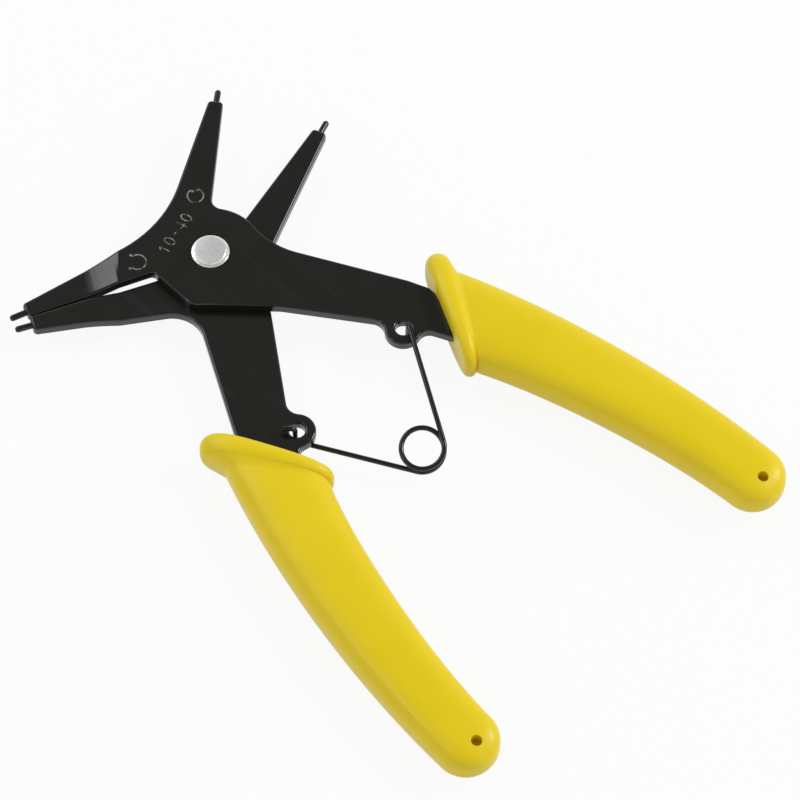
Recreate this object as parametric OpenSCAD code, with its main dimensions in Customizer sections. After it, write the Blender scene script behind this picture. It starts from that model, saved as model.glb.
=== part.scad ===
// Combination circlip pliers: two stamped levers on one rivet, each with an
// internal jaw, an external jaw and a moulded grip, held open by a wire spring.
// Millimetres. X runs from the rivet towards the grips, Z points to the front.
// The origin is the centre of the rivet's rear face.

/* [Lever plates] */
// Thickness of the steel plate
plate_t = 2.4; // [2:0.1:3]
// Play between the two plates, and under each rivet head
plate_play = 0.05; // [0.02:0.01:0.1]
// Radius of the round hub about the rivet
hub_r = 11.5; // [11.2:0.1:12]
// Half the angle between the two handles at rest
arm_angle = 28.5; // [27:0.5:30]
// Distance of the front handle's outer edge from the rivet axis
front_arm_offset = 5.6; // [5:0.1:6.5]
// Distance of the rear handle's outer edge from the rivet axis
rear_arm_offset = 6.5; // [5.5:0.1:7]

/* [Rivet] */
// Diameter of the rivet's shank
shank_d = 5; // [4:0.1:6]
// Radial clearance of the shank in the rear lever
pivot_clearance = 0.05; // [0.02:0.01:0.1]
// Radial clearance of the shank in the front lever, where it is set
seat_clearance = 0.02; // [0.01:0.01:0.05]
// Diameter of both heads
head_d = 8.2; // [7.5:0.1:9]
// Height of the front head
front_head_h = 1.15; // [1:0.05:1.6]
// Height of the rear head
rear_head_h = 1.5; // [1.2:0.1:2]
// Chamfer round each head
head_chamfer = 0.75; // [0.3:0.05:0.9]

/* [Jaws] */
// Distance from the rivet axis to the end of the rear internal jaw
internal_reach = 40.6; // [36:0.1:44]
// Width of an internal jaw at its end
internal_tip_w = 3.2; // [2.8:0.1:3.6]
// Diameter of the pins on all four jaws
tip_pin_d = 1.4; // [1.2:0.1:1.6]
// Length of the pins on the internal jaws
internal_pin_l = 3.5; // [3:0.1:4.5]
// Length of the pins on the external jaws
external_pin_l = 3.6; // [3:0.1:4.5]
// Gap between the external jaws at their tips, closed
stop_gap = 0.1; // [0.05:0.05:0.2]
// Angle by which the gap between the external jaws widens towards the rivet
slot_angle = 1.6; // [1.4:0.1:2.5]
// Distance from the rivet at which the external jaws start to step
step_start = 19.8; // [19:0.1:22]
// Length of that step, over which both jaws reach one plane
step_l = 7.5; // [6:0.5:9]

/* [Spring] */
// Diameter of the spring wire
wire_d = 1.1; // [0.9:0.1:1.2]
// Mean diameter of the coil
coil_d = 9; // [8:0.1:9.2]
// Rise of the coil in one turn
coil_pitch = 1.35; // [1.3:0.01:1.5]
// Slope of the coil's plane, since its legs hook on opposite faces of the levers
coil_tilt = 0.25; // [0.1:0.01:0.3]
// Distance from the front hook to the coil's centre
front_leg_l = 28.6; // [28.1:0.1:29.1]
// Distance from the rear hook to the coil's centre
rear_leg_l = 26.9; // [26.4:0.1:27.4]
// Diameter of the eye in each lever
eye_d = 3.4; // [3.3:0.1:3.6]
// Distance from the rivet axis to the front lever's eye
front_eye_reach = 45.3; // [44.8:0.1:45.8]
// Distance from the rivet axis to the rear lever's eye
rear_eye_reach = 46.5; // [46:0.1:47]
// Angle of each eye from the middle line
eye_angle = 20.7; // [20.2:0.1:21.2]
// Width of the rim round each eye
eye_rim = 2.3; // [2:0.1:2.5]

/* [Grips] */
// Distance from the rivet axis to the end of each grip, along the middle line
grip_reach = 125.4; // [112:0.2:140]
// Distance from the rivet axis to the inner end of the front grip's flared lip
front_lip_reach = 58; // [57:0.1:59]
// Distance from the rivet axis to the inner end of the rear grip's flared lip
rear_lip_reach = 56.1; // [56:0.1:58]
// Thickness of the grip at its middle
grip_t = 11; // [10:0.1:12]
// Thickness of the grip over the flared lip
lip_t = 12.4; // [12:0.1:13]
// Distance of each grip's middle from the middle of its lever's plate
grip_shift = 0.6; // [0:0.1:1]
// Width of the rounded end
grip_end_w = 13.8; // [12:0.1:15]
// Width of the tang at the lip
tang_front_w = 9; // [8:0.1:10]
// Width of the tang at its end
tang_end_w = 6.5; // [5:0.1:8]
// Clearance of the grip round the tang, and before the lever's shoulder
tang_clearance = 0.1; // [0.05:0.01:0.2]
// Diameter of the moulding hole near the end of each grip
core_hole_d = 2.3; // [1.5:0.1:3]
// Depth of that hole
core_hole_depth = 3; // [2:0.1:3.5]

/* [Hidden] */
$fn = 96;

// Heights, from the rivet's rear face to the front
z_rear = rear_head_h + plate_play;
z_front = z_rear + plate_t + plate_play;
z_joint = z_front - plate_play / 2;
z_step = z_joint - plate_t / 2;
far = 200;

function direction(angle) = [cos(angle), sin(angle)];
function left_of(angle) = [-sin(angle), cos(angle)];
function heading(v) = atan2(v[1], v[0]);
function unit(v) = v / norm(v);
function flip(p) = [p[0], -p[1]];
// Point where the line through p at angle a crosses the line through q at angle b
function crossing(p, a, q, b) =
    let (u = direction(a), w = direction(b), d = q - p)
    p + u * (d[0] * w[1] - d[1] * w[0]) / (u[0] * w[1] - u[1] * w[0]);

// Handle: its outer edge is a straight line, kept as one point and one heading
front_arm_edge = left_of(arm_angle) * front_arm_offset;
rear_arm_edge = flip(left_of(arm_angle) * rear_arm_offset);
arm_straight_l = 42.5;
arm_bend_angle = arm_angle - 6;
// Inner edge of the handle, from the crotch between the two levers
crotch = [18.8, 0.15];
crotch_angle = 36;
// The same edge behind the eye's lobe
inner_neck = [45, 18.76];
inner_neck_angle = 26;
wing_angle = 44;
front_eye = direction(eye_angle) * front_eye_reach;
rear_eye = direction(-eye_angle) * rear_eye_reach;
lobe_r = eye_d / 2 + eye_rim;

// Grip: the centres and radii of the two rounded ends of its flared lip
function lip_inner(reach) = [reach, 21.25];
function lip_outer(reach) = [reach - 21.5, 32.35];
lip_inner_r = 2.2;
lip_outer_r = 2.7;
lip_across = unit(lip_outer(0) - lip_inner(0));
lip_forward = [-lip_across[1], lip_across[0]];
lip_angle = heading(lip_outer(0) - lip_inner(0) + lip_forward * (lip_outer_r - lip_inner_r));
function lip_face(reach) = lip_inner(reach) + lip_forward * lip_inner_r;
// Sides of the grip behind the lip, as two cubic curves that end at the rounded end
end_centre = [grip_reach - grip_end_w / 2, 42.4];
function outer_side(reach) =
    [[(reach - front_lip_reach) / 3 + 40.4, 33.9], [61.5, 42.1],
     [end_centre[0] - 28, end_centre[1] + grip_end_w / 2 - 0.65], end_centre + [0, grip_end_w / 2]];
function inner_side(reach) =
    [[reach + 2.3, 21.05], [reach + 13, 26.3],
     [end_centre[0] - 20.5, end_centre[1] - grip_end_w / 2 - 1.3], end_centre - [0, grip_end_w / 2]];
function curve(c, t) =
    pow(1 - t, 3) * c[0] + 3 * t * pow(1 - t, 2) * c[1] + 3 * t * t * (1 - t) * c[2] + pow(t, 3) * c[3];

// Rounds a re-entrant corner at v, whose two edges leave it at the angles a and b.
// The patch reaches a little way into the plate, and its arc bites slightly into it.
fillet_lap = 0.3;
fillet_bite = 0.01;
module fillet(v, a, b, r) {
    low = min(a, b);
    high = max(a, b);
    half = (high - low) / 2;
    middle = (a + b) / 2;
    centre = v + direction(middle) * r / sin(half);
    low_end = v + direction(low) * r / tan(half);
    high_end = v + direction(high) * r / tan(half);
    difference() {
        polygon([v - direction(middle) * fillet_lap / sin(half), low_end - left_of(low) * fillet_lap,
                 low_end, centre, high_end, high_end + left_of(high) * fillet_lap]);
        translate(centre) circle(r + fillet_bite);
    }
}

// Rounds the corner between a straight edge and a disc. The edge runs through p
// at the given angle, side is 1 when the open side lies to its left, and sense
// picks which of the two corners is meant.
module disc_fillet(p, angle, side, disc, disc_r, r, sense) {
    across = left_of(angle) * side;
    height = (p - disc) * across + r;
    run = sqrt(pow(disc_r + r, 2) - height * height);
    centre = disc + across * height + direction(angle) * run * sense;
    foot = disc + across * (height - r - fillet_lap);
    difference() {
        polygon([disc, foot, centre - across * (r + fillet_lap), centre]);
        translate(centre) circle(r + fillet_bite);
    }
}

// Jaws, in plan. A jaw tapers from its root to a square end with broken corners.
jaw_break = 0.5;
module jaw_plan(left_root, left_tip, right_tip, right_root) {
    across = unit(right_tip - left_tip);
    down_left = unit(left_root - left_tip);
    down_right = unit(right_root - right_tip);
    polygon([left_root, left_tip + down_left * jaw_break, left_tip + across * jaw_break,
             right_tip - across * jaw_break, right_tip + down_right * jaw_break, right_root]);
}

// Internal jaws: reach along the jaw's own heading from the rivet
front_internal_at = direction(134.8) * (internal_reach - 1.1);
front_internal_heading = 128;
front_internal_root = [-1.1, -0.35];
rear_internal_at = direction(100.4) * internal_reach;
rear_internal_heading = 110;
// Outer edge of the front internal jaw and of the front external jaw meet at the waist
waist = [-12, -2.75];
waist_r = 28;
// The external jaws meet on a line through this point, the inner corner of both tips
tip_meet = [-16, -37.95];
meet_angle = 67.1;
front_external_left = [-19.2, -37.05];
rear_external_right = [-12.7, -39.5];
rear_external_edge = 55;
step_heading = -132;

module tip_pin(at, angle, z, length) {
    taper = tip_pin_d * 0.4;
    root = plate_t / 2;
    translate([at[0], at[1], z]) rotate([0, 90, angle]) translate([0, 0, -root]) {
        cylinder(d = tip_pin_d, h = root + length - taper);
        translate([0, 0, root + length - taper]) cylinder(d1 = tip_pin_d, d2 = tip_pin_d * 0.6, h = taper);
    }
}

// Handle, in plan, with the eye's rounded lobe. Both levers have it, the rear one mirrored.
module arm_plan(arm_edge, eye, lip_reach) {
    shoulder = lip_face(lip_reach) + lip_forward * tang_clearance;
    arm_bend = arm_edge + direction(arm_angle) * arm_straight_l;
    outer_corner = crossing(arm_bend, arm_bend_angle, shoulder, lip_angle);
    inner_bend = crotch + direction(crotch_angle) * 28;
    inner_corner = crossing(inner_neck, inner_neck_angle, shoulder, lip_angle);
    corner_r = 1;
    difference() {
        union() {
            polygon([[0, 0], arm_edge, arm_bend, outer_corner + direction(arm_bend_angle + 180) * corner_r,
                     outer_corner + direction(lip_angle + 180) * corner_r, inner_corner, inner_neck,
                     inner_bend, crotch]);
            translate(eye) circle(lobe_r);
            disc_fillet(crotch, crotch_angle, -1, eye, lobe_r, 3, -1);
            disc_fillet(inner_neck, inner_neck_angle, -1, eye, lobe_r, 2.4, 1);
        }
        translate(eye) circle(d = eye_d);
    }
    tang_plan(0, lip_reach);
}

// Tang, in plan, along the middle of the grip; grow widens it to make the grip's pocket
tang_steps = 8;
function grip_middle(t, lip_reach) = (curve(outer_side(lip_reach), t) + curve(inner_side(lip_reach), t)) / 2;
function tang_station(k, grow, lip_reach, side) =
    let (t = k / tang_steps * 0.94, here = grip_middle(t, lip_reach),
         ahead = heading(grip_middle(t + 0.02, lip_reach) - grip_middle(t - 0.02, lip_reach)),
         width = tang_front_w + (tang_end_w - tang_front_w) * k / tang_steps + 2 * grow)
    here + left_of(ahead) * side * width / 2;
module tang_plan(grow, lip_reach) {
    root = crossing(grip_middle(0, lip_reach), 28, lip_face(lip_reach), lip_angle) - direction(28) * 2;
    end = grip_middle(0.94, lip_reach);
    polygon(concat([for (k = [0:tang_steps]) tang_station(k, grow, lip_reach, 1)],
                   [for (k = [tang_steps:-1:0]) tang_station(k, grow, lip_reach, -1)],
                   [root - left_of(28) * (tang_front_w / 2 + grow), root + left_of(28) * (tang_front_w / 2 + grow)]));
    translate(end) circle(tang_end_w / 2 + grow + fillet_bite);
}

module front_plan() {
    internal_across = left_of(front_internal_heading) * internal_tip_w / 2;
    left_tip = front_internal_at + internal_across;
    right_tip = front_internal_at - internal_across;
    wing_r = 5;
    wing = [4.5, wing_r - 0.55 - hub_r];
    wing_end = wing + direction(wing_angle - 90) * wing_r;
    external_root = crossing(tip_meet, meet_angle, [0, wing[1] - wing_r], 0);
    difference() {
        union() {
            circle(hub_r);
            arm_plan(front_arm_edge, front_eye, front_lip_reach);
            jaw_plan(waist, left_tip, right_tip, front_internal_root);
            jaw_plan(external_root, tip_meet, front_external_left, waist);
            polygon([[0, 0], waist, external_root, [wing[0], wing[1] - wing_r], wing, wing_end,
                     crossing(wing_end, wing_angle, crotch, crotch_angle), crotch]);
            translate(wing) circle(wing_r);
            fillet(waist, heading(left_tip - waist), heading(front_external_left - waist) + 360, waist_r);
            fillet(external_root, meet_angle + 180, 360, 1.5);
            disc_fillet(right_tip, heading(right_tip - front_internal_root), -1, [0, 0], hub_r, 2.5, 1);
            disc_fillet(front_arm_edge, arm_angle, 1, [0, 0], hub_r, 18, 1);
        }
        circle(d = shank_d + 2 * seat_clearance);
    }
}

module rear_plan() {
    internal_across = left_of(rear_internal_heading) * internal_tip_w / 2;
    left_tip = rear_internal_at + internal_across;
    right_tip = rear_internal_at - internal_across;
    left_root = [-1.2, 8.2];
    right_root = [10.3, 4.25];
    slot_side = meet_angle - slot_angle;
    inner_tip = tip_meet - left_of(slot_side) * stop_gap;
    inner_root = inner_tip + direction(slot_side) * 28;
    valley = crossing(rear_arm_edge, -arm_angle, rear_external_right, rear_external_edge);
    difference() {
        union() {
            circle(hub_r);
            mirror([0, 1]) arm_plan(flip(rear_arm_edge), flip(rear_eye), rear_lip_reach);
            polygon([[0, 0], right_root, flip(crotch)]);
            jaw_plan(left_root, left_tip, right_tip, right_root);
            jaw_plan(valley, rear_external_right, inner_tip, inner_root);
            polygon([[0, 0], inner_root, valley]);
            fillet(valley, rear_external_edge + 180, 360 - arm_angle, 7);
            disc_fillet(left_tip, heading(left_root - left_tip), -1, [0, 0], hub_r, 1.5, -1);
        }
        circle(d = shank_d + 2 * pivot_clearance);
    }
}

// Gives a plan its thickness, and steps it by drop along the external jaw
module stepped_plate(z, drop) {
    profile = [[-far, 0], [step_start, 0], [step_start + step_l, drop], [far, drop]];
    intersection() {
        translate([0, 0, -far / 4]) linear_extrude(far / 2) children();
        rotate([0, 0, step_heading]) translate([0, far, z]) rotate([90, 0, 0]) linear_extrude(2 * far)
            polygon(concat(profile, [for (k = [3:-1:0]) profile[k] + [0, plate_t]]));
    }
}

module front_lever() {
    color("#2e2e2c") {
        stepped_plate(z_front, z_step - z_front) front_plan();
        tip_pin(front_internal_at, front_internal_heading, z_front + plate_t / 2, internal_pin_l);
        tip_pin((front_external_left + tip_meet) / 2, meet_angle + 180 + 4.5, z_joint, external_pin_l);
    }
}

module rear_lever() {
    color("#2e2e2c") {
        stepped_plate(z_rear, z_step - z_rear) rear_plan();
        tip_pin(rear_internal_at, rear_internal_heading, z_rear + plate_t / 2, internal_pin_l);
        tip_pin((rear_external_right + tip_meet) / 2, meet_angle + 180 - 3, z_joint, external_pin_l);
    }
}

module pivot_rivet() {
    head_r = head_d / 2;
    shank_r = shank_d / 2;
    z_top = z_front + plate_t;
    z_end = z_top + front_head_h;
    color("#c9c9c5") rotate_extrude()
        polygon([[0, 0], [head_r - head_chamfer, 0], [head_r, head_chamfer], [head_r, rear_head_h],
                 [shank_r, rear_head_h], [shank_r, z_top + plate_play], [head_r, z_top + plate_play],
                 [head_r, z_end - head_chamfer], [head_r - head_chamfer, z_end], [0, z_end]]);
}

// Grip: rings from the lip to the end, each in an upright plane between one point
// of the outer side and one of the inner side. A ring is [outer, inner, half height].
lip_front_h = 4.6;
neck_h = grip_t / 2 - 0.3;
end_h = grip_t / 2 - 0.7;
function lip_ring(phi, reach) =
    [lip_outer(reach) + lip_outer_r * (cos(phi) * lip_forward + sin(phi) * lip_across),
     lip_inner(reach) + lip_inner_r * (cos(phi) * lip_forward - sin(phi) * lip_across),
     lip_front_h + (lip_t / 2 - lip_front_h) * pow(sin(phi), 0.7)];
function body_h(t) =
    t < 0.12 ? neck_h + (grip_t / 2 - neck_h) * sin(90 * t / 0.12)
             : grip_t / 2 - (grip_t / 2 - end_h) * pow((t - 0.12) / 0.88, 2);
function body_ring(t, reach) = [curve(outer_side(reach), t), curve(inner_side(reach), t), body_h(t)];
function end_ring(psi) =
    let (w = cos(psi) * grip_end_w / 2, here = end_centre + [sin(psi) * grip_end_w / 2, 0])
    [here + [0, w], here - [0, w], end_h * pow(cos(psi), 0.6)];
function grip_rings(reach) =
    concat([for (phi = [0, 25, 50, 75, 100, 125, 150]) lip_ring(phi, reach)],
           [for (k = [0:22]) body_ring(k / 22, reach)],
           [for (psi = [12, 25, 38, 50, 62, 73, 82, 88]) end_ring(psi)]);
ring_sides = 28;
fullness = 2.7;
function superellipse(a) =
    [sign(cos(a)) * pow(abs(cos(a)), 2 / fullness), sign(sin(a)) * pow(abs(sin(a)), 2 / fullness)];

module grip_body(lip_reach) {
    rings = grip_rings(lip_reach);
    last = len(rings) - 1;
    points = [for (ring = rings) for (k = [0:ring_sides - 1])
        let (e = superellipse(k * 360 / ring_sides), middle = (ring[0] + ring[1]) / 2,
             p = middle + (ring[0] - ring[1]) / 2 * e[0])
        [p[0], p[1], ring[2] * e[1]]];
    sides = [for (i = [0:last - 1]) for (k = [0:ring_sides - 1])
        let (n = (k + 1) % ring_sides, a = i * ring_sides)
        each [[a + k, a + n, a + ring_sides + n], [a + k, a + ring_sides + n, a + ring_sides + k]]];
    front = [for (k = [ring_sides - 1:-1:0]) k];
    back = [for (k = [0:ring_sides - 1]) last * ring_sides + k];
    polyhedron(points, concat(sides, [front, back]));
}

module grip(lip_reach, tang_z) {
    hole = end_centre + [2.6, -0.2];
    color("#e4cd23") difference() {
        grip_body(lip_reach);
        translate([0, 0, tang_z - plate_t / 2 - tang_clearance]) linear_extrude(plate_t + 2 * tang_clearance)
            tang_plan(tang_clearance, lip_reach);
        translate([hole[0], hole[1], end_h - core_hole_depth]) cylinder(d = core_hole_d, h = core_hole_depth + 2);
    }
}

module front_grip() {
    translate([0, 0, z_front + plate_t / 2 - grip_shift]) grip(front_lip_reach, grip_shift);
}

module rear_grip() {
    translate([0, 0, z_rear + plate_t / 2 + grip_shift]) mirror([0, 1, 0]) grip(rear_lip_reach, -grip_shift);
}

// Spring: each hook bears on the side of its eye that its leg pushes against
wire_r = wire_d / 2;
coil_r = coil_d / 2;
front_hook_gap = 0.1;
rear_hook_gap = 0.35;
leg_gap = 0.6;
front_hook_angle = 60;
rear_hook_angle = -75;
front_hook = front_eye + direction(front_hook_angle) * (eye_d / 2 - wire_r - front_hook_gap);
rear_hook = rear_eye + direction(rear_hook_angle) * (eye_d / 2 - wire_r - rear_hook_gap);
hook_span = norm(front_hook - rear_hook);
coil_along = (pow(front_leg_l, 2) - pow(rear_leg_l, 2) + hook_span * hook_span) / (2 * hook_span);
coil_out = sqrt(pow(front_leg_l, 2) - coil_along * coil_along);
hook_line = unit(rear_hook - front_hook);
coil = front_hook + hook_line * coil_along + [-hook_line[1], hook_line[0]] * coil_out;
// The coil starts where the front leg touches it and winds clockwise to the rear leg
wind_start = heading(front_hook - coil) - acos(coil_r / front_leg_l);
wind_end = heading(rear_hook - coil) + acos(coil_r / rear_leg_l) - 360;
wind_split = wind_end + 24;
tilt_heading = 135;
wind_step = 12;
coil_top = z_joint + coil_pitch * (wind_start - wind_end) / 720;
function coil_point(a) =
    let (p = coil + direction(a) * coil_r)
    [p[0], p[1], coil_top - coil_pitch * (wind_start - a) / 360 + coil_tilt * coil_r * cos(a - tilt_heading)];
function coil_ahead(a) =
    unit([coil_r * sin(a), -coil_r * cos(a), -coil_pitch / (2 * PI) + coil_tilt * coil_r * sin(a - tilt_heading)]);
function coil_run(from, to) =
    let (n = ceil((from - to) / wind_step)) [for (k = [0:n]) coil_point(from + (to - from) * k / n)];
bend_r = 1.1;
// Quarter bend at a hook: from the leg, which comes in along ahead, to the upright
function quarter(hook, z, ahead, up) = [for (k = [0:5])
    let (b = 90 * k / 5, q = hook - ahead * bend_r * (1 - sin(b)))
    [q[0], q[1], z + up * bend_r * (1 - cos(b))]];
front_leg_z = z_front + plate_t + wire_r + leg_gap;
rear_leg_z = z_rear - wire_r - leg_gap;
front_end_z = z_front - 1.4;
rear_end_z = z_rear + plate_t + 1.6;
rear_end_angle = 225;

function reversed(list) = [for (k = [len(list) - 1:-1:0]) list[k]];
function tangents(p, first, last) =
    concat([first], [for (k = [1:len(p) - 2]) unit(p[k + 1] - p[k - 1])], [last]);
function normals(t, k, n) =
    k == len(t) ? [] : let (m = unit(n - (n * t[k]) * t[k])) concat([m], normals(t, k + 1, m));
wire_sides = 12;
module wire(path, first_ahead, last_ahead, first_normal) {
    t = tangents(path, first_ahead, last_ahead);
    n = normals(t, 0, first_normal);
    last = len(path) - 1;
    points = [for (i = [0:last]) for (k = [0:wire_sides - 1])
        path[i] + wire_r * (cos(k * 360 / wire_sides) * n[i] + sin(k * 360 / wire_sides) * cross(t[i], n[i]))];
    sides = [for (i = [0:last - 1]) for (k = [0:wire_sides - 1])
        let (m = (k + 1) % wire_sides, a = i * wire_sides)
        each [[a + k, a + m, a + wire_sides + m], [a + k, a + wire_sides + m, a + wire_sides + k]]];
    polyhedron(points, concat(sides, [[for (k = [wire_sides - 1:-1:0]) k],
                                      [for (k = [0:wire_sides - 1]) last * wire_sides + k]]));
}

module spring_front_arm() {
    ahead = unit(front_hook - coil - direction(wind_start) * coil_r);
    bend = quarter(front_hook, front_leg_z, ahead, -1);
    path = concat([[front_hook[0], front_hook[1], front_end_z]], reversed(bend), coil_run(wind_start, wind_split));
    color("#1c1c1b") wire(path, [0, 0, 1], coil_ahead(wind_split), [1, 0, 0]);
}

module spring_rear_arm() {
    ahead = unit(rear_hook - coil - direction(wind_end) * coil_r);
    bend = quarter(rear_hook, rear_leg_z, ahead, 1);
    tail = direction(rear_end_angle);
    turn = [for (k = [0:4])
        let (b = 90 * k / 4, q = rear_hook + tail * (1 - cos(b))) [q[0], q[1], rear_end_z - 1 + sin(b)]];
    tail_end = rear_hook + tail * 2.6;
    path = concat(coil_run(wind_split, wind_end), bend, turn, [[tail_end[0], tail_end[1], rear_end_z]]);
    color("#1c1c1b") wire(path, coil_ahead(wind_split), [tail[0], tail[1], 0], [0, 0, 1]);
}

front_lever();
rear_lever();
pivot_rivet();
front_grip();
rear_grip();
spring_front_arm();
spring_rear_arm();
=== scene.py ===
"""Looks of the combination circlip pliers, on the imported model's frame.

Everything is in metres, X from the rivet towards the grips, Z to the front.
Sizes in the property groups are shown in the sidebar; each operator makes one
piece, or the stage, from them.
"""

import math

import bmesh
import bpy
from mathutils import Matrix, Vector
from mathutils.geometry import delaunay_2d_cdt


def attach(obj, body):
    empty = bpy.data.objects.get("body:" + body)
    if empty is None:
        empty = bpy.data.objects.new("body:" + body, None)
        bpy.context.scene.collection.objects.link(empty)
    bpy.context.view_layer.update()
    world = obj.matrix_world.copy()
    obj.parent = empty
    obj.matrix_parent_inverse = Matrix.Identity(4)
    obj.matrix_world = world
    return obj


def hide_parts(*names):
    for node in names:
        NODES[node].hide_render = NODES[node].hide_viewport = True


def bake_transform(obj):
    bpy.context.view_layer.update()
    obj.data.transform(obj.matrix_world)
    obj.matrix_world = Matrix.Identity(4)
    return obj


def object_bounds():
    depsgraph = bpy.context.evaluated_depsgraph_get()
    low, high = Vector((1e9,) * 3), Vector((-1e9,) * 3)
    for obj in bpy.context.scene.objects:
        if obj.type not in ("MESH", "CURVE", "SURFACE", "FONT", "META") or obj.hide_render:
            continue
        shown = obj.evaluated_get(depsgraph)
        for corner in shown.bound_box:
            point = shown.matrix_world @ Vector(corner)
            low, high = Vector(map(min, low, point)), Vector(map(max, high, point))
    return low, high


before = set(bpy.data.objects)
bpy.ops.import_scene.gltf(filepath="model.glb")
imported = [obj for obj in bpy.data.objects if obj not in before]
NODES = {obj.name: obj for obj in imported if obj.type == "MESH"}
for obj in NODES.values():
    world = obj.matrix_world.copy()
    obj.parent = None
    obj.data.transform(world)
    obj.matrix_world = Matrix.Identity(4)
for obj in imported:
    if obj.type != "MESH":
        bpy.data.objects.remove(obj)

bl_info = {
    "name": "Circlip Pliers Looks",
    "version": (1, 0, 0),
    "blender": (4, 5, 0),
    "location": "View3D > Sidebar > Pliers",
    "description": "Makes the visible pieces of a pair of combination circlip pliers",
    "category": "Object",
}

MM = 0.001
CAD_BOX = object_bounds()

# Heights of the plates, as in the part; Z_JOINT is the plane of the external pins
PLATE_T = 2.4 * MM
Z_REAR = 1.55 * MM
Z_FRONT = 4.0 * MM
Z_JOINT = 3.975 * MM
STEP_Z = Z_JOINT - PLATE_T / 2


def direction(angle):
    """Unit vector in plan at an angle in degrees."""
    return Vector((math.cos(math.radians(angle)), math.sin(math.radians(angle))))


def left_of(angle):
    """Unit vector in plan, a quarter turn to the left of that angle."""
    return Vector((-math.sin(math.radians(angle)), math.cos(math.radians(angle))))


def heading(v):
    """Angle of a vector in plan, in degrees."""
    return math.degrees(math.atan2(v[1], v[0]))


def crossing(p, a, q, b):
    """Where the line through p at angle a meets the line through q at angle b."""
    u = direction(a)
    w = direction(b)
    d = q - p
    return p + u * (d[0] * w[1] - d[1] * w[0]) / (u[0] * w[1] - u[1] * w[0])


def arc(centre, radius, first, last, steps):
    """Points on a circle from one angle to another."""
    return [centre + direction(first + (last - first) * k / steps) * radius for k in range(steps + 1)]


def cubic(c, t):
    """Point at t on the cubic curve that has the four control points c."""
    s = 1 - t
    return c[0] * s ** 3 + c[1] * (3 * t * s * s) + c[2] * (3 * t * t * s) + c[3] * t ** 3


def new_object(name, mesh):
    obj = bpy.data.objects.new(name, mesh)
    bpy.context.scene.collection.objects.link(obj)
    return obj


def mesh_from(name, points, faces):
    mesh = bpy.data.meshes.new(name)
    mesh.from_pydata(points, [], faces)
    mesh.validate()
    mesh.update()
    return mesh


def outward(mesh):
    """Turns a closed mesh's faces outwards."""
    bm = bmesh.new()
    bm.from_mesh(mesh)
    bmesh.ops.recalc_face_normals(bm, faces=bm.faces)
    bm.to_mesh(mesh)
    bm.free()


def smooth(mesh, sharp_angle):
    """Smooth shading, broken at edges that turn by more than the angle in degrees."""
    for face in mesh.polygons:
        face.use_smooth = True
    mesh.set_sharp_from_angle(angle=math.radians(sharp_angle))


def applied(obj, name):
    """Turns an object and its modifiers into a new object with a plain mesh."""
    view = bpy.context.evaluated_depsgraph_get()
    mesh = bpy.data.meshes.new_from_object(obj.evaluated_get(view), depsgraph=view)
    mesh.name = name
    old = obj.data
    bpy.data.objects.remove(obj)
    if isinstance(old, bpy.types.Mesh):
        bpy.data.meshes.remove(old)
    else:
        bpy.data.curves.remove(old)
    return new_object(name, mesh)


def discard(*objects):
    for obj in objects:
        bpy.data.objects.remove(obj)


def band(first, sides, rings):
    """Quads between rings of points, whose indices run on from first."""
    faces = []
    for ring in range(rings - 1):
        a = first + ring * sides
        b = a + sides
        faces += [[a + k, a + (k + 1) % sides, b + (k + 1) % sides, b + k] for k in range(sides)]
    return faces


def prism(name, outline, low, high):
    """Upright prism on an outline that runs anticlockwise."""
    n = len(outline)
    points = [(p[0], p[1], low) for p in outline] + [(p[0], p[1], high) for p in outline]
    faces = [list(range(n - 1, -1, -1)), list(range(n, 2 * n))] + band(0, n, 2)
    return new_object(name, mesh_from(name, points, faces))


def cut(obj, cutter):
    """Takes the cutter out of an object, and gives the cut faces the cutter's material."""
    tool = obj.modifiers.new("Cut", "BOOLEAN")
    tool.operation = "DIFFERENCE"
    tool.solver = "EXACT"
    tool.use_self = True
    tool.material_mode = "TRANSFER"
    tool.object = cutter


# Shader node groups

def group_tree(name, inputs, outputs):
    """Empty shader node group with named sockets, and its input and output nodes."""
    tree = bpy.data.node_groups.new(name, "ShaderNodeTree")
    for label, kind, value in inputs:
        socket = tree.interface.new_socket(label, in_out="INPUT", socket_type=kind)
        if value is not None:
            socket.default_value = value
    for label, kind in outputs:
        tree.interface.new_socket(label, in_out="OUTPUT", socket_type=kind)
    first = tree.nodes.new("NodeGroupInput")
    first.location = (-900, 0)
    last = tree.nodes.new("NodeGroupOutput")
    last.location = (500, 0)
    return tree, first, last


def add_node(tree, kind, place, **settings):
    node = tree.nodes.new(kind)
    node.location = place
    for key, value in settings.items():
        setattr(node, key, value)
    return node


def feed(tree, socket, value):
    """Links a socket to another's output, or gives it a plain value."""
    if isinstance(value, bpy.types.NodeSocket):
        tree.links.new(value, socket)
    else:
        socket.default_value = value


def math_node(tree, operation, place, first, second):
    node = add_node(tree, "ShaderNodeMath", place, operation=operation)
    feed(tree, node.inputs[0], first)
    feed(tree, node.inputs[1], second)
    return node.outputs[0]


def noise(tree, place, vector, scale, detail, roughness=0.5):
    node = add_node(tree, "ShaderNodeTexNoise", place)
    tree.links.new(vector, node.inputs["Vector"])
    feed(tree, node.inputs["Scale"], scale)
    node.inputs["Detail"].default_value = detail
    node.inputs["Roughness"].default_value = roughness
    return node.outputs["Fac"]


def value_range(tree, value, low, high, place, start=0.3, end=0.7):
    """Maps a value that runs from start to end so that it runs from low to high."""
    node = add_node(tree, "ShaderNodeMapRange", place)
    node.inputs["From Min"].default_value = start
    node.inputs["From Max"].default_value = end
    node.inputs["To Min"].default_value = low
    node.inputs["To Max"].default_value = high
    tree.links.new(value, node.inputs["Value"])
    return node.outputs["Result"]


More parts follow.
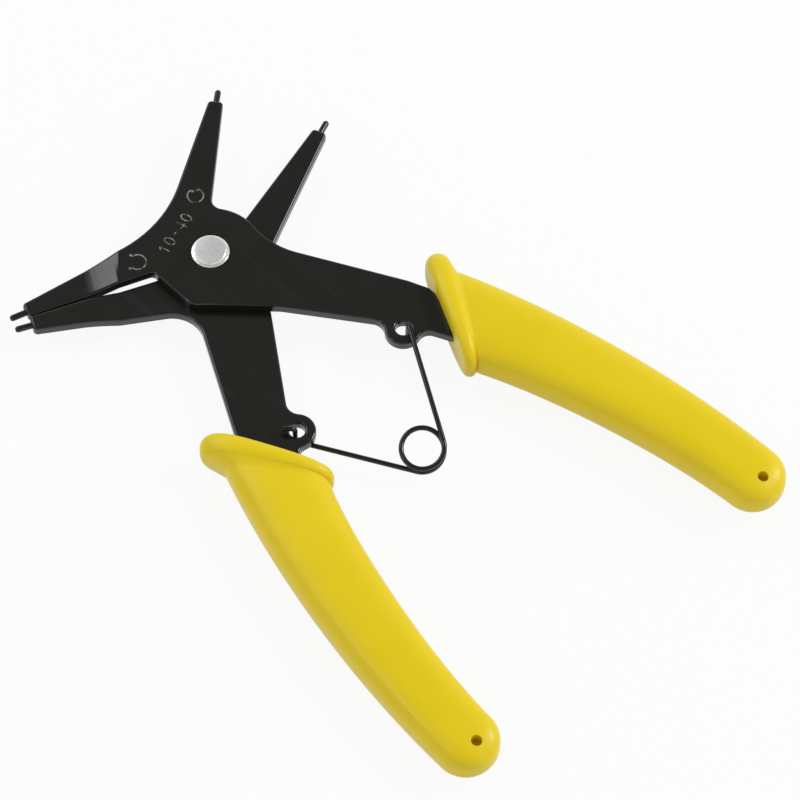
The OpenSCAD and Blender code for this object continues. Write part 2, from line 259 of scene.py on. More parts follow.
def surface_grain_group():
    """Fine moulded or painted texture: a height, and a mask of broader mottling."""
    name = "Surface grain"
    if name in bpy.data.node_groups:
        return bpy.data.node_groups[name]
    tree, first, last = group_tree(
        name,
        [("Grain Scale", "NodeSocketFloat", 3000.0), ("Mottle Scale", "NodeSocketFloat", 120.0)],
        [("Height", "NodeSocketFloat"), ("Mottle", "NodeSocketFloat")])
    place = add_node(tree, "ShaderNodeTexCoord", (-900, 250)).outputs["Object"]
    grain = noise(tree, (-500, 200), place, first.outputs["Grain Scale"], 3.0, 0.55)
    mottle = noise(tree, (-500, -150), place, first.outputs["Mottle Scale"], 4.0, 0.6)
    tree.links.new(grain, last.inputs["Height"])
    tree.links.new(mottle, last.inputs["Mottle"])
    return tree


def scuffs_group():
    """Thin handling scratches in two directions, as a mask that is mostly nought."""
    name = "Handling scuffs"
    if name in bpy.data.node_groups:
        return bpy.data.node_groups[name]
    tree, first, last = group_tree(
        name,
        [("Scale", "NodeSocketFloat", 260.0), ("Amount", "NodeSocketFloat", 0.5)],
        [("Mask", "NodeSocketFloat")])
    place = add_node(tree, "ShaderNodeTexCoord", (-900, 300))
    masks = []
    for turn, height in ((25.0, 200), (118.0, -200)):
        spread = add_node(tree, "ShaderNodeMapping", (-700, height))
        spread.inputs["Rotation"].default_value = (0.0, 0.0, math.radians(turn))
        spread.inputs["Scale"].default_value = (0.06, 1.0, 1.0)
        tree.links.new(place.outputs["Object"], spread.inputs["Vector"])
        streaks = noise(tree, (-480, height), spread.outputs["Vector"], first.outputs["Scale"], 2.0)
        masks.append(value_range(tree, streaks, 0.0, 1.0, (-250, height), start=0.66, end=0.74))
    both = math_node(tree, "MAXIMUM", (0, 0), masks[0], masks[1])
    scaled = math_node(tree, "MULTIPLY", (200, 0), both, first.outputs["Amount"])
    tree.links.new(scaled, last.inputs["Mask"])
    return tree


def place_group(tree, group, place, **values):
    """Places a group; the names of its inputs are written with underscores for spaces."""
    node = tree.nodes.new("ShaderNodeGroup")
    node.node_tree = group
    node.location = place
    for label, value in values.items():
        node.inputs[label.replace("_", " ")].default_value = value
    return node


def look_name(slot):
    """Name of a slot's material here; the frame's own plain one already has the slot's name."""
    return slot + "_look"


def shade(rgb, share=1.0):
    """A colour made darker or lighter, as a socket takes it."""
    return (*(min(1.0, c * share) for c in rgb), 1.0)


def blend_colours(tree, mask, first, second, place):
    node = add_node(tree, "ShaderNodeMix", place, data_type="RGBA")
    feed(tree, node.inputs["A"], first)
    feed(tree, node.inputs["B"], second)
    feed(tree, node.inputs["Factor"], mask)
    return node.outputs["Result"]


def bump(tree, shader, height, depth, place):
    node = add_node(tree, "ShaderNodeBump", place)
    node.inputs["Strength"].default_value = 1.0
    node.inputs["Distance"].default_value = depth
    tree.links.new(height, node.inputs["Height"])
    tree.links.new(node.outputs["Normal"], shader.inputs["Normal"])


def grained_material(slot, grain_scale, mottle_scale, depth=0.0):
    """New material, its shader and its mottling; the fine grain is a bump where it has a depth."""
    material = bpy.data.materials.new(look_name(slot))
    material.use_nodes = True
    tree = material.node_tree
    tree.nodes.clear()
    shader = add_node(tree, "ShaderNodeBsdfPrincipled", (300, 0))
    output = add_node(tree, "ShaderNodeOutputMaterial", (600, 0))
    tree.links.new(shader.outputs["BSDF"], output.inputs["Surface"])
    grain = place_group(tree, surface_grain_group(), (-700, 0),
                        Grain_Scale=grain_scale, Mottle_Scale=mottle_scale)
    if depth:
        bump(tree, shader, grain.outputs["Height"], depth, (0, -250))
    return material, tree, shader, grain.outputs["Mottle"]


def mottled_colour(tree, shader, mottle, first, second):
    mottled = blend_colours(tree, mottle, first, second, (-350, 200))
    tree.links.new(mottled, shader.inputs["Base Color"])


def mottled_roughness(tree, shader, mottle, low, high):
    rough = value_range(tree, mottle, low, high, (-350, -100))
    tree.links.new(rough, shader.inputs["Roughness"])


def black_steel(finish):
    material, tree, shader, mottle = grained_material(
        "black_steel", grain_scale=2600.0, mottle_scale=170.0, depth=0.0025 * MM)
    scuffs = place_group(tree, scuffs_group(), (-700, -300), Scale=420.0, Amount=0.35)
    dark = finish.steel
    mottled = blend_colours(tree, mottle, shade(dark), shade(dark, 1.5), (-350, 200))
    scuffed = blend_colours(tree, scuffs.outputs["Mask"], mottled, shade(dark, 3.2), (-100, 200))
    tree.links.new(scuffed, shader.inputs["Base Color"])
    mottled_roughness(tree, shader, mottle, low=0.14, high=0.2)
    return material


def rivet_steel(finish):
    """Turned and plated steel, with fine rings about the pivot axis."""
    material, tree, shader, mottle = grained_material("rivet_steel", grain_scale=1500.0, mottle_scale=220.0)
    place = add_node(tree, "ShaderNodeTexCoord", (-1100, 400))
    parts = add_node(tree, "ShaderNodeSeparateXYZ", (-900, 400))
    tree.links.new(place.outputs["Object"], parts.inputs["Vector"])
    flat = add_node(tree, "ShaderNodeCombineXYZ", (-700, 400))
    tree.links.new(parts.outputs["X"], flat.inputs["X"])
    tree.links.new(parts.outputs["Y"], flat.inputs["Y"])
    radius = add_node(tree, "ShaderNodeVectorMath", (-500, 400), operation="LENGTH")
    tree.links.new(flat.outputs["Vector"], radius.inputs[0])
    along = add_node(tree, "ShaderNodeCombineXYZ", (-300, 400))
    tree.links.new(radius.outputs["Value"], along.inputs["X"])
    lathe = noise(tree, (-100, 400), along.outputs["Vector"], 2600.0, 2.0)
    bump(tree, shader, lathe, 0.0012 * MM, (100, -100))
    mottled_colour(tree, shader, mottle, shade(finish.rivet, 0.93), shade(finish.rivet))
    mottled_roughness(tree, shader, mottle, low=0.24, high=0.34)
    shader.inputs["Metallic"].default_value = 0.7
    return material


def yellow_grip(finish):
    material, tree, shader, mottle = grained_material(
        "yellow_grip", grain_scale=1800.0, mottle_scale=45.0, depth=0.02 * MM)
    scuffs = place_group(tree, scuffs_group(), (-700, -300), Scale=240.0, Amount=0.25)
    red, green, blue = finish.grip
    mottled_colour(tree, shader, mottle, shade((red * 0.9, green * 0.88, blue * 0.7)), shade(finish.grip))
    rough = value_range(tree, mottle, 0.3, 0.42, (-350, -100))
    scuffed = math_node(tree, "ADD", (-100, -100), rough, scuffs.outputs["Mask"])
    tree.links.new(scuffed, shader.inputs["Roughness"])
    shader.inputs["Specular IOR Level"].default_value = 0.3
    return material


def spring_wire(finish):
    material, tree, shader, mottle = grained_material(
        "spring_wire", grain_scale=4000.0, mottle_scale=300.0, depth=0.006 * MM)
    mottled_colour(tree, shader, mottle, shade(finish.wire), shade(finish.wire, 1.6))
    mottled_roughness(tree, shader, mottle, low=0.16, high=0.22)
    return material


def stamped_line(finish):
    """Foot of a stamped line with a painted highlight: patches of bright steel colour stand in for light
    that the groove's rounded edges catch.
    """
    material, tree, shader, mottle = grained_material(
        "stamped_line", grain_scale=2600.0, mottle_scale=900.0, depth=0.01 * MM)
    # Mask of the painted highlight, in patches along the stamped lines
    line_highlight = value_range(tree, mottle, 0.0, 1.0, (-500, 200), start=0.42, end=0.56)
    mottled_colour(tree, shader, line_highlight, shade(finish.line_highlight, 0.12), shade(finish.line_highlight))
    shader.inputs["Roughness"].default_value = 0.45
    return material


MAKERS = {
    "black_steel": black_steel,
    "stamped_line": stamped_line,
    "rivet_steel": rivet_steel,
    "yellow_grip": yellow_grip,
    "spring_wire": spring_wire,
}


def finish_named(slot):
    if look_name(slot) not in bpy.data.materials:
        MAKERS[slot](bpy.context.scene.pliers_finish)
    return bpy.data.materials[look_name(slot)]


def finish_piece(obj, slot):
    """Gives a piece the material of the record's slot."""
    obj.data.materials.clear()
    obj.data.materials.append(finish_named(slot))


# Geometry node tree: a round rod along a path

def rod_tree():
    name = "Round rod"
    if name in bpy.data.node_groups:
        return bpy.data.node_groups[name]
    tree = bpy.data.node_groups.new(name, "GeometryNodeTree")
    tree.is_modifier = True
    face = tree.interface
    face.new_socket("Geometry", in_out="INPUT", socket_type="NodeSocketGeometry")
    width = face.new_socket("Diameter", in_out="INPUT", socket_type="NodeSocketFloat")
    width.subtype = "DISTANCE"
    width.default_value = 1.1 * MM
    sides = face.new_socket("Sides", in_out="INPUT", socket_type="NodeSocketInt")
    sides.default_value = 24
    face.new_socket("Finish", in_out="INPUT", socket_type="NodeSocketMaterial")
    face.new_socket("Geometry", in_out="OUTPUT", socket_type="NodeSocketGeometry")
    first = add_node(tree, "NodeGroupInput", (-800, 0))
    last = add_node(tree, "NodeGroupOutput", (600, 0))
    half = add_node(tree, "ShaderNodeMath", (-600, -200), operation="MULTIPLY")
    half.inputs[1].default_value = 0.5
    circle = add_node(tree, "GeometryNodeCurvePrimitiveCircle", (-400, -200))
    sweep = add_node(tree, "GeometryNodeCurveToMesh", (-200, 0))
    sweep.inputs["Fill Caps"].default_value = True
    shade = add_node(tree, "GeometryNodeSetShadeSmooth", (0, 0))
    real = add_node(tree, "GeometryNodeRealizeInstances", (200, 0))
    paint = add_node(tree, "GeometryNodeSetMaterial", (400, 0))
    link = tree.links.new
    link(first.outputs["Diameter"], half.inputs[0])
    link(half.outputs[0], circle.inputs["Radius"])
    link(first.outputs["Sides"], circle.inputs["Resolution"])
    link(first.outputs["Geometry"], sweep.inputs["Curve"])
    link(circle.outputs["Curve"], sweep.inputs["Profile Curve"])
    link(sweep.outputs["Mesh"], shade.inputs["Geometry"])
    link(shade.outputs["Geometry"], real.inputs["Geometry"])
    link(real.outputs["Geometry"], paint.inputs["Geometry"])
    link(first.outputs["Finish"], paint.inputs["Material"])
    link(paint.outputs["Geometry"], last.inputs["Geometry"])
    return tree


def rod(name, paths, diameter, sides, finish=None):
    """Round rod along each path; a path is its points and whether it closes on itself."""
    curve = bpy.data.curves.new(name, "CURVE")
    curve.dimensions = "3D"
    for points, closed in paths:
        line = curve.splines.new("POLY")
        line.points.add(len(points) - 1)
        for point, place in zip(line.points, points):
            point.co = (place[0], place[1], place[2], 1.0)
        line.use_cyclic_u = closed
    obj = new_object(name, curve)
    tree = rod_tree()
    sweep = obj.modifiers.new("Rod", "NODES")
    sweep.node_group = tree
    values = {"Diameter": diameter, "Sides": sides, "Finish": finish}
    for item in tree.interface.items_tree:
        if item.in_out == "INPUT" and item.name in values and values[item.name] is not None:
            sweep[item.identifier] = values[item.name]
    obj.update_tag()
    bpy.context.view_layer.update()
    return applied(obj, name)


# Sizes and colours that a user would change

def length(name, description, default):
    return bpy.props.FloatProperty(name=name, description=description, default=default * MM,
                                   min=0.0, precision=5, subtype="DISTANCE", unit="LENGTH")


def colour(name, description, default):
    return bpy.props.FloatVectorProperty(name=name, description=description, default=default,
                                         size=3, min=0.0, max=1.0, subtype="COLOR")


class PliersLeverSizes(bpy.types.PropertyGroup):
    """Sizes of the stamped levers' edges and marks"""
    edge_round: length("Edge Rounding", "Width of the rounded edge that stamping leaves", 0.55)
    edge_fall: length("Edge Fall", "Depth of that rounded edge", 0.45)
    rear_edge: length("Rear Edge", "Width of the broken edge on the other face", 0.2)
    mark_width: length("Mark Width", "Width of a stamped line", 0.34)
    mark_depth: length("Mark Depth", "Depth of a stamped line", 0.12)
    numeral_height: length("Numeral Height", "Height of the stamped numerals", 2.5)
    numeral_advance: length("Numeral Advance", "Distance from one numeral to the next", 2.3)


class PliersGripSizes(bpy.types.PropertyGroup):
    """Sizes of the moulded grips"""
    reach: length("Reach", "Distance from the rivet axis to the grip's end", 125.4)
    thickness: length("Thickness", "Thickness at the grip's middle", 11.0)
    lip_thickness: length("Lip Thickness", "Thickness over the flared lip", 12.34)
    end_width: length("End Width", "Width of the rounded end", 13.8)
    fullness: bpy.props.FloatProperty(
        name="Fullness", description="How square the section is, 2 being an ellipse",
        default=3.1, min=2.0, max=6.0)
    hole: length("Hole", "Diameter of the moulding hole near the end", 2.3)
    hole_depth: length("Hole Depth", "Depth of the moulding hole", 3.0)


class PliersSpringSizes(bpy.types.PropertyGroup):
    """Sizes of the wire spring"""
    wire: length("Wire", "Diameter of the wire", 1.1)
    coil: length("Coil", "Mean diameter of the coil", 9.0)
    pitch: length("Pitch", "Rise of the coil in one turn", 1.35)
    tilt: bpy.props.FloatProperty(
        name="Tilt", description="Slope of the coil's plane", default=0.25, min=0.0, max=0.5)
    front_leg: length("Front Leg", "Distance from the front hook to the coil's centre", 28.6)
    rear_leg: length("Rear Leg", "Distance from the rear hook to the coil's centre", 26.9)


class PliersFinish(bpy.types.PropertyGroup):
    """Colours of the finishes and of the floor"""
    steel: colour("Black Steel", "Black finish of the levers", (0.0074, 0.0072, 0.006))
    # Colour of the painted highlight in the stamped lines
    line_highlight: colour("Line Highlight", "Painted highlight in the stamped lines", (0.3, 0.3, 0.29))
    rivet: colour("Rivet", "Plated steel of the rivet", (0.93, 0.93, 0.91))
    grip: colour("Grip", "Yellow plastic of the grips", (0.81, 0.62, 0.008))
    wire: colour("Wire", "Black spring wire", (0.004, 0.004, 0.004))
    floor: colour("Floor", "Pale floor", (0.75, 0.75, 0.74))


class PliersStageSizes(bpy.types.PropertyGroup):
    """Floor, lamps and camera"""
    floor_size: length("Floor Size", "Width of the floor", 6000.0)
    focal: bpy.props.FloatProperty(
        name="Focal Length", description="Camera's focal length in millimetres", default=166.5, min=1.0)
    sky: bpy.props.FloatProperty(
        name="Sky", description="Strength of the even light from all round", default=1.0, min=0.0)


# Levers

NUMERAL_STROKES = {
    "1": [([(0.1, 0.74), (0.34, 1.0), (0.34, 0.0)], False)],
    "4": [([(0.46, 0.0), (0.46, 1.0), (0.04, 0.3), (0.66, 0.3)], False)],
    "-": [([(0.1, 0.5), (0.5, 0.5)], False)],
}


def numeral(sign):
    if sign == "0":
        ring = []
        for k in range(24):
            a = math.radians(15 * k)
            ring.append((0.32 + 0.28 * math.cos(a), 0.5 + 0.5 * math.sin(a)))
        return [(ring, True)]
    return NUMERAL_STROKES[sign]


def range_mark(sizes, start, line_heading):
    """Strokes of the ring sizes that the jaws take, along a line from start."""
    ahead = direction(line_heading)
    up = left_of(line_heading)
    strokes = []
    for index, sign in enumerate("10-40"):
        corner = start + ahead * sizes.numeral_advance * index
        for points, closed in numeral(sign):
            placed = [corner + (ahead * p[0] + up * p[1]) * sizes.numeral_height for p in points]
            strokes.append((placed, closed))
    return strokes


def ring_mark(centre, radius, gap_heading, gap, eye):
    """Outline of a retaining ring: an open circle with an eye at each end."""
    first = gap_heading + gap / 2
    strokes = [(arc(centre, radius, first, first + 360 - gap, 30), False)]
    for side in (-1, 1):
        a = gap_heading + side * gap / 2
        middle = centre + direction(a) * (radius + eye)
        dot = [middle + direction(45 * k) * abs(eye) * 0.45 for k in range(8)]
        strokes.append((dot, True))
    return strokes


# Step of the external jaws: its heading, start and length, and how soon it runs out flat
STEP_HEADING = -132
STEP_START = 19.8 * MM
STEP_L = 7.5 * MM
STEP_EASE = 1.5
CREASES = tuple(STEP_START + STEP_L * k / 6 for k in range(7))
CREASE_REACH = 200 * MM
ON_CREASE = 0.001 * MM

# Distances at which points merge, in the CAD mesh and along a plate's seams
CAD_MERGE = 0.002 * MM
SEAM_MERGE = 0.0008 * MM

# What counts as level and as upright in the CAD mesh, and how near its face an edge must lie
LEVEL = 0.95
UPRIGHT = 0.3
NEAR_FACE = 0.35 * MM

# Least side of a traced outline, and the least spread of its corners' steps inwards
LEAST_SIDE = 0.03 * MM
LEAST_SPREAD = 0.3


def plate_height(base, drop, p):
    """Height of a plate's face, which steps by drop along the external jaw and runs out flat."""
    share = (direction(STEP_HEADING).dot(Vector((p[0], p[1]))) - STEP_START) / STEP_L
    return base + drop * (1 - (1 - min(1.0, max(0.0, share))) ** STEP_EASE)


def traced_loops(node, base, drop):
    """Outline of a plate's front face in plan, read off the CAD node: its edge and its holes."""
    bm = bmesh.new()
    bm.from_mesh(NODES[node].data)
    bmesh.ops.remove_doubles(bm, verts=bm.verts, dist=CAD_MERGE)
    bm.verts.index_update()
    bm.verts.ensure_lookup_table()
    beside = {}
    for edge in bm.edges:
        flat = [f for f in edge.link_faces if f.normal.z > LEVEL]
        wall = [f for f in edge.link_faces if abs(f.normal.z) < UPRIGHT]
        on_top = all(abs(v.co.z - plate_height(base, drop, v.co)) < NEAR_FACE for v in edge.verts)
        if len(flat) == 1 and len(wall) == 1 and on_top:
            first, second = (v.index for v in edge.verts)
            beside.setdefault(first, []).append(second)
            beside.setdefault(second, []).append(first)
    loops = []
    unused = set(beside)
    while unused:
        start = min(unused)
        loop = [start]
        before = None
        here = start
        while True:
            unused.discard(here)
            ahead = [n for n in beside[here] if n != before]
            if len(beside[here]) != 2 or not ahead:
                raise RuntimeError("the outline of %s is not one closed line" % node)
            before, here = here, ahead[0]
            if here == start:
                break
            loop.append(here)
        loops.append([Vector((bm.verts[i].co.x, bm.verts[i].co.y)) for i in loop])
    bm.free()
    return loops


def signed_area(loop):
    """Area within a loop, below nought where the loop runs clockwise."""
    return sum(p[0] * q[1] - q[0] * p[1] for p, q in zip(loop, loop[1:] + loop[:1])) / 2


def tidied(loops):
    """Drops points that are too close, and turns each loop so that the metal lies on its left."""
    out = []
    biggest = max(abs(signed_area(loop)) for loop in loops)
    for loop in loops:
        kept = []
        for p in loop:
            if not kept or (p - kept[-1]).length > LEAST_SIDE:
                kept.append(p)
        if (kept[0] - kept[-1]).length <= LEAST_SIDE:
            kept.pop()
        outer = abs(signed_area(kept)) > 0.99 * biggest
        if (signed_area(kept) > 0) != outer:
            kept.reverse()
        out.append(kept)
    return out


def inward(loop):
    """For each point the step into the metal that moves both its edges in by one unit."""
    steps = []
    n = len(loop)
    for k in range(n):
        first = (loop[k] - loop[k - 1]).normalized()
        second = (loop[(k + 1) % n] - loop[k]).normalized()
        a = Vector((-first[1], first[0]))
        b = Vector((-second[1], second[0]))
        steps.append((a + b) / max(LEAST_SPREAD, 1 + a.dot(b)))
    return steps


def with_crease_points(loop, steps, depth):
    """Adds the points at which the loop, moved in by depth, crosses the creases of the step."""
    ahead = direction(STEP_HEADING)
    for crease in CREASES:
        points = []
        moves = []
        n = len(loop)
        for k in range(n):
            m = (k + 1) % n
            points.append(loop[k])
            moves.append(steps[k])
            a = (loop[k] + steps[k] * depth).dot(ahead) - crease
            b = (loop[m] + steps[m] * depth).dot(ahead) - crease
            if a * b < 0 and min(abs(a), abs(b)) > ON_CREASE:
                t = a / (a - b)
                points.append(loop[k].lerp(loop[m], t))
                moves.append(steps[k].lerp(steps[m], t))
        loop = points
        steps = moves
    return loop, steps


def inside(p, loops):
    """Whether p is in the metal: within the outline and in none of its holes."""
    hit = False
    for loop in loops:
        for a, b in zip(loop, loop[1:] + loop[:1]):
            if (a[1] > p[1]) != (b[1] > p[1]):
                if p[0] < a[0] + (b[0] - a[0]) * (p[1] - a[1]) / (b[1] - a[1]):
                    hit = not hit
    return hit


def flat_region(loops):
    """Triangles that fill the loops and keep the creases of the step."""
    ahead = direction(STEP_HEADING)
    side = left_of(STEP_HEADING)
    points = []
    edges = []
    for loop in loops:
        first = len(points)
        points += [p / MM for p in loop]
        edges += [(first + k, first + (k + 1) % len(loop)) for k in range(len(loop))]
    for crease in CREASES:
        first = len(points)
        points += [(ahead * crease + side * reach) / MM for reach in (-CREASE_REACH, CREASE_REACH)]
        edges.append((first, first + 1))
    least_gap = 0.0005
    found, _, triangles, *_ = delaunay_2d_cdt(points, edges, [], 0, least_gap)
    corners = [p * MM for p in found]
    faces = []
    for face in triangles:
        middle = sum((corners[k] for k in face), Vector((0.0, 0.0))) / len(face)
        if inside(middle, loops):
            faces.append(list(face))
    return corners, faces


def edge_rings(sizes):
    """Rings of a plate's edge from front to rear: depth into the metal, rise over the rear face."""
    rings = []
    for k in range(7):
        a = math.radians(15 * k)
        rings.append((sizes.edge_round * (1 - math.sin(a)), PLATE_T - sizes.edge_fall * (1 - math.cos(a))))
    for k in range(4):
        a = math.radians(30 * k)
        rings.append((sizes.rear_edge * (1 - math.cos(a)), sizes.rear_edge * (1 - math.sin(a))))
    return rings


def seal(name, mesh):
    """Merges a mesh's doubles, and stops if that leaves it open."""
    bm = bmesh.new()
    bm.from_mesh(mesh)
    bmesh.ops.remove_doubles(bm, verts=bm.verts, dist=SEAM_MERGE)
    loose = [v for v in bm.verts if not v.link_faces]
    bmesh.ops.delete(bm, geom=loose, context="VERTS")
    bmesh.ops.recalc_face_normals(bm, faces=bm.faces)
    open_edges = sum(1 for edge in bm.edges if len(edge.link_faces) != 2)
    bm.to_mesh(mesh)
    bm.free()
    if open_edges:
        raise RuntimeError("%s has %d open edges" % (name, open_edges))


def stamped_plate(name, node, base, drop, sizes):
    """Plate on the CAD node's outline, with the round edge that stamping leaves on its front."""
    loops = []
    moves = []
    for loop in tidied(traced_loops(node, base + PLATE_T, drop)):
        steps = inward(loop)
        for depth in (sizes.edge_round, sizes.rear_edge):
            loop, steps = with_crease_points(loop, steps, depth)
        loops.append(loop)
        moves.append(steps)
    rings = edge_rings(sizes)
    points = []
    faces = []
    for loop, steps in zip(loops, moves):
        faces += band(len(points), len(loop), len(rings))
        for depth, rise in rings:
            for p, step in zip(loop, steps):
                q = p + step * depth
                points.append((q[0], q[1], plate_height(base, drop, q) + rise))
    for depth, rise in (rings[0], rings[-1]):
        inner = [[p + step * depth for p, step in zip(loop, steps)] for loop, steps in zip(loops, moves)]
        corners, triangles = flat_region(inner)
        first = len(points)
        points += [(p[0], p[1], plate_height(base, drop, p) + rise) for p in corners]
        faces += [[first + k for k in triangle] for triangle in triangles]
    mesh = mesh_from(name, points, faces)
    seal(name, mesh)
    return new_object(name, mesh)


# Pins of the jaws; each point of the rounded end is (in from the pin's wall, back from its end)
PIN_R = 0.7 * MM
PIN_ROOT = -0.9 * MM
PIN_END = ((0.0, 0.56), (0.05, 0.36), (0.16, 0.16), (0.28, 0.03), (0.36, 0.0))


def tip_pin(at, angle, z, reach):
    """Turned pin of a jaw, along its heading; its root lies inside the plate."""
    profile = [Vector((0.0, PIN_ROOT)), Vector((PIN_R, PIN_ROOT))]
    profile += [Vector((PIN_R - across * MM, reach - back * MM)) for across, back in PIN_END]
    profile += [Vector((0.0, reach))]
    pin = turned("pin", profile, sides=32)
    place = Matrix.Translation((at[0], at[1], z)) @ Matrix.Rotation(math.radians(angle), 4, "Z")
    pin.data.transform(place @ Matrix.Rotation(math.radians(90), 4, "Y"))
    return pin


def joined(obj, others):
    """Adds the others' meshes to the first one's."""
    bm = bmesh.new()
    bm.from_mesh(obj.data)
    for other in others:
        bm.from_mesh(other.data)
    bm.to_mesh(obj.data)
    bm.free()
    discard(*others)


def crease_edges(mesh):
    """Keeps the start of the step sharp, which turns by less than what smooth shading breaks at."""
    least_turn = math.radians(8)
    least_level = 0.94
    near_start = 0.01 * MM
    bm = bmesh.new()
    bm.from_mesh(mesh)
    for edge in bm.edges:
        if len(edge.link_faces) == 2:
            a, b = edge.link_faces
            middle = (edge.verts[0].co + edge.verts[1].co) / 2
            along = direction(STEP_HEADING).dot(Vector((middle[0], middle[1])))
            flats = min(abs(a.normal.z), abs(b.normal.z)) > least_level
            at_start = abs(along - STEP_START) < near_start
            if flats and at_start and a.normal.angle(b.normal) > least_turn:
                edge.smooth = False
    bm.to_mesh(mesh)
    bm.free()


def even_normals(obj, name):
    """Weighs the smooth normals by face area, so that flat faces stay flat up to their edges."""
    weigh = obj.modifiers.new("Normals", "WEIGHTED_NORMAL")
    weigh.mode = "FACE_AREA"
    weigh.weight = 80
    weigh.keep_sharp = True
    return applied(obj, name)


# Each pin's place on the jaw's end, heading, height and reach
FRONT_PINS = (
    (direction(134.8) * 39.5 * MM, 128, Z_FRONT + PLATE_T / 2, 3.5 * MM),
    (Vector((-17.6, -37.5)) * MM, 251.6, Z_JOINT, 3.6 * MM),
)
REAR_PINS = (
    (direction(100.4) * 40.6 * MM, 110, Z_REAR + PLATE_T / 2, 3.5 * MM),
    (Vector((-14.35, -38.725)) * MM, 244.1, Z_JOINT, 3.6 * MM),
)


# Ring symbols, as (centre, radius, heading of the gap, gap, place of the eyes), and the number range
RING_MARKS = (
    (Vector((-12.8, 7.7)) * MM, 1.75 * MM, 145, 42, -0.4 * MM),
    (Vector((-9.1, -12.8)) * MM, 1.85 * MM, 225, 95, 0.4 * MM),
)
RANGE_START = Vector((-6.1, -6.9)) * MM
RANGE_HEADING = 106


def stamped_marks(sizes):
    """Cutter for the two ring symbols and the range of sizes on the front lever."""
    strokes = range_mark(sizes, RANGE_START, RANGE_HEADING)
    for mark in RING_MARKS:
        strokes += ring_mark(*mark)
    height = Z_FRONT + PLATE_T + sizes.mark_width / 2 - sizes.mark_depth
    paths = [([(p[0], p[1], height) for p in line], closed) for line, closed in strokes]
    return rod("marks", paths, sizes.mark_width, sides=12, finish=finish_named("stamped_line"))


class PLIERS_OT_levers(bpy.types.Operator):
    """Makes the two stamped levers, with the stamped size marks on the front one"""
    bl_idname = "pliers.levers"
    bl_label = "Make Levers"

    def execute(self, context):
        sizes = context.scene.pliers_lever
        pieces = (
            ("front_lever", "front_half", Z_FRONT, STEP_Z - Z_FRONT, FRONT_PINS),
            ("rear_lever", "rear_half", Z_REAR, STEP_Z - Z_REAR, REAR_PINS),
        )
        for node, body, base, drop, pins in pieces:
            name = "stamped_" + node
            lever = stamped_plate(name, node, base, drop, sizes)
            lever.data.materials.append(finish_named("black_steel"))
            if node == "front_lever":
                marks = stamped_marks(sizes)
                cut(lever, marks)
                lever = applied(lever, name)
                discard(marks)
            joined(lever, [tip_pin(*pin) for pin in pins])
            smooth(lever.data, sharp_angle=32)
            crease_edges(lever.data)
            lever = even_normals(lever, name)
            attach(lever, body)
            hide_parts(node)
        return {"FINISHED"}


# Rivet

def rivet_profile():
    """Half section of the rivet, as (radius, height); its front head has a raised round disc."""
    head = 4.1 * MM
    disc = 3.42 * MM
    shank = 2.5 * MM
    chamfer = 0.75 * MM
    rear = 1.5 * MM
    front = 6.45 * MM
    end = 7.55 * MM
    soft = 0.18 * MM
    profile = [Vector((0.0, 0.0))]
    profile += arc(Vector((head - chamfer - soft * 0.41, soft)), soft, 270, 315, 4)
    profile += arc(Vector((head - soft * 0.8, chamfer + soft * 0.3)), soft * 0.8, 315, 360, 4)
    profile += arc(Vector((head - soft / 2, rear - soft / 2)), soft / 2, 0, 90, 3)
    profile += [Vector((shank, rear)), Vector((shank, front))]
    profile += arc(Vector((head - soft / 2, front + soft / 2)), soft / 2, 270, 360, 3)
    profile += arc(Vector((head - soft, end - chamfer - soft)), soft, 0, 80, 6)
    profile += [Vector((disc + 0.09 * MM, end - 0.62 * MM)), Vector((disc + 0.02 * MM, end - 0.54 * MM))]
    profile += arc(Vector((disc - soft, end - soft)), soft, 0, 90, 8)
    profile += [Vector((0.0, end))]
    return profile


def turned(name, profile, sides):
    """Closed solid of revolution about the pivot axis, from a profile that starts and ends on it."""
    points = [(0.0, 0.0, profile[0][1])]
    rim = profile[1:-1]
    for radius, height in rim:
        for k in range(sides):
            a = 2 * math.pi * k / sides
            points.append((radius * math.cos(a), radius * math.sin(a), height))
    points.append((0.0, 0.0, profile[-1][1]))
    faces = band(1, sides, len(rim))
    last = len(points) - 1
    for k in range(sides):
        n = (k + 1) % sides
        faces.append([0, 1 + n, 1 + k])
        faces.append([last - sides + k, last - sides + n, last])
    mesh = mesh_from(name, points, faces)
    outward(mesh)
    return new_object(name, mesh)


class PLIERS_OT_rivet(bpy.types.Operator):
    """Makes the pivot rivet, with a raised disc on its front head"""
    bl_idname = "pliers.rivet"
    bl_label = "Make Rivet"

    def execute(self, context):
        rivet = turned("turned_rivet", rivet_profile(), sides=128)
        smooth(rivet.data, sharp_angle=30)
        rivet = even_normals(rivet, "turned_rivet")
        finish_piece(rivet, "rivet_steel")
        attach(rivet, "front_half")
        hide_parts("pivot_rivet")
        return {"FINISHED"}


# Grips

# Lip: its reach from the rivet on either half, its corners and their edge radii; the part's own
# inner radius is LIP_INNER_FULL, and the corner moves so that the smaller one keeps the outline
FRONT_LIP_REACH = 58.0 * MM
REAR_LIP_REACH = 56.1 * MM
LIP_INNER_Y = 21.25 * MM
LIP_OUTER_Y = 32.35 * MM
LIP_SLANT = 21.5 * MM
LIP_INNER_R = 1.4 * MM
LIP_INNER_FULL = 2.2 * MM
LIP_OUTER_R = 2.7 * MM
LIP_FRONT_H = 4.6 * MM

# Body: how much thinner it is at the neck and the end, and how far along the neck reaches
NECK_DROP = 0.3 * MM
END_DROP = 0.7 * MM
NECK_SHARE = 0.12
BODY_RINGS = 110
END_Y = 42.4 * MM
END_ANGLES = (4, 8, *range(12, 73, 5), 76, 80, 83, 86, 88)

# Tang of the lever within the grip, and how far the grip's middle is off the plate's
TANG_HEADING = 28
TANG_ROOT_W = 9.0 * MM
TANG_END_W = 6.5 * MM
TANG_SHARE = 0.94
TANG_CLEARANCE = 0.1 * MM
GRIP_SHIFT = 0.6 * MM

